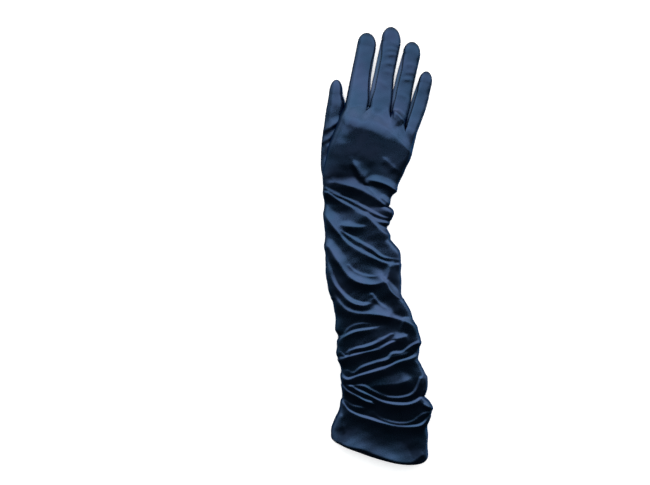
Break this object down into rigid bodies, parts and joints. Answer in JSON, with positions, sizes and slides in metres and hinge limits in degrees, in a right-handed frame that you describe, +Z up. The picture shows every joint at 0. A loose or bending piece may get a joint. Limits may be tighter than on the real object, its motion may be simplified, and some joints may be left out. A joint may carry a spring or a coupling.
{
  "type": "satin evening glove",
  "caption": "Long satin evening glove for the right hand, with a softly ruched sleeve to the elbow, lying palm down.",
  "frame": {"origin": "on the surface that the glove lies on, under the centre of its bounding box", "axes": "+X towards the little finger's side, +Y from the cuff to the fingertips, +Z up out of the back of the hand"},
  "size_m": [0.1149, 0.4506, 0.0323],
  "materials": {
    "satin": "navy satin, glossy, softly folded",
    "satin_side": "navy satin, narrow strips between the fingers",
    "satin_hem": "navy satin, turned in and stitched"
  },
  "bodies": {
    "root": {"back_panel": "satin", "palm_panel": "satin", "thumb": "satin", "fourchette_index_middle": "satin_side", "fourchette_middle_ring": "satin_side", "fourchette_ring_little": "satin_side", "cuff_hem": "satin_hem"}
  },
  "joints": []
}
